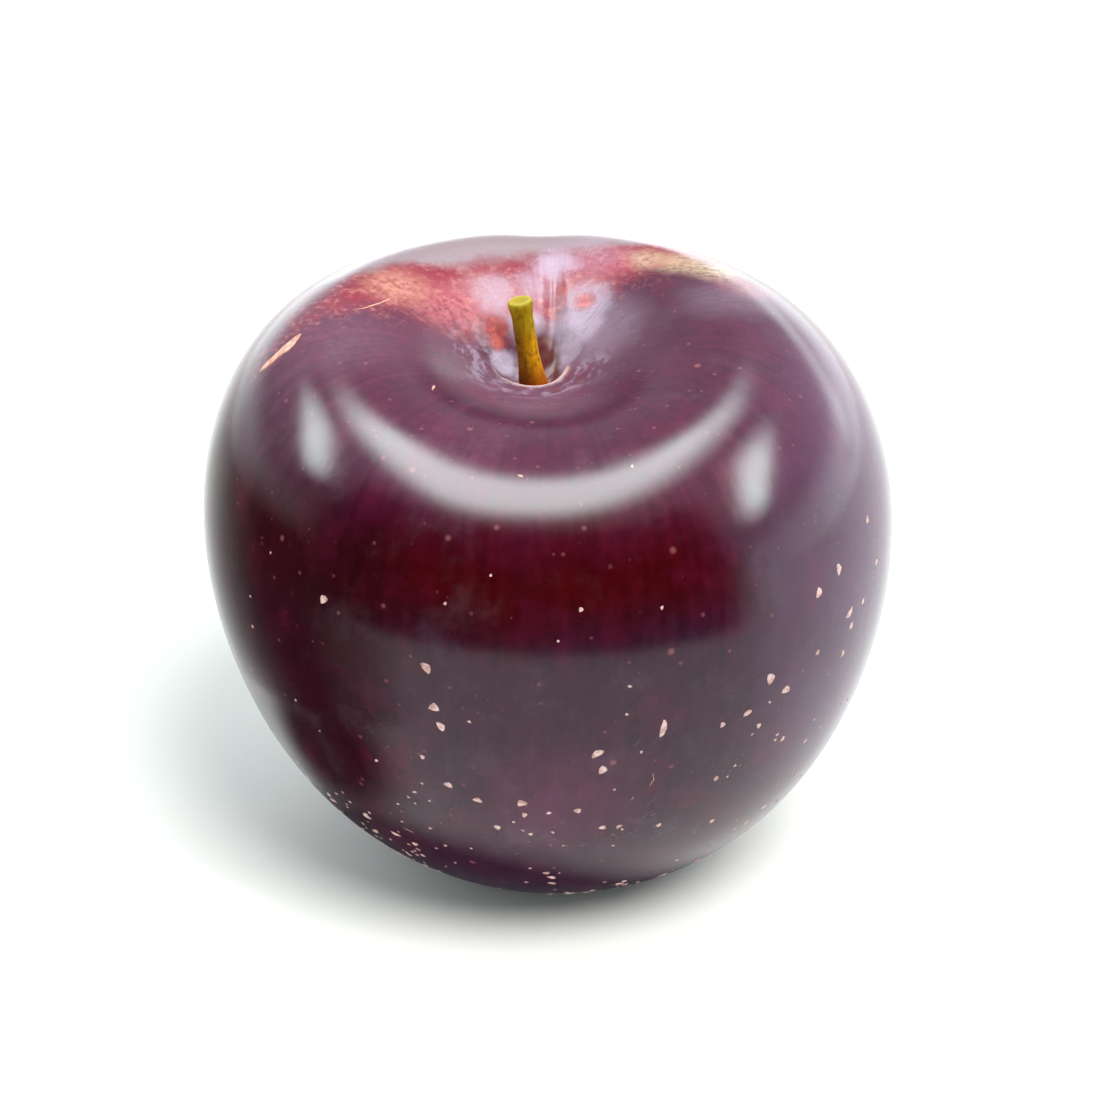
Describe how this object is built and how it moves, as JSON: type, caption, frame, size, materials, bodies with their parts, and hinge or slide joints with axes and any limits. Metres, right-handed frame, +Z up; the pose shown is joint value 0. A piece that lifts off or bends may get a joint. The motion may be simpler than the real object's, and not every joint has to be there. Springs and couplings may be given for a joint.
{
  "type": "plum",
  "caption": "Whole dark purple-red dessert plum standing on its base, with a wide stem cavity, a shallow suture and its short cut stem.",
  "frame": {"origin": "middle of the fruit's outline on the surface it rests on", "axes": "+Z up through the stem cavity, +Y towards the side with the suture, -Y towards the smooth front"},
  "size_m": [0.0624, 0.0614, 0.0559],
  "materials": {
    "skin": "dark purple-red skin with a satin bloom and pale dots",
    "stem": "dry yellow-green to brown stalk"
  },
  "bodies": {
    "root": {"fruit": "skin", "stem": "stem"}
  },
  "joints": []
}
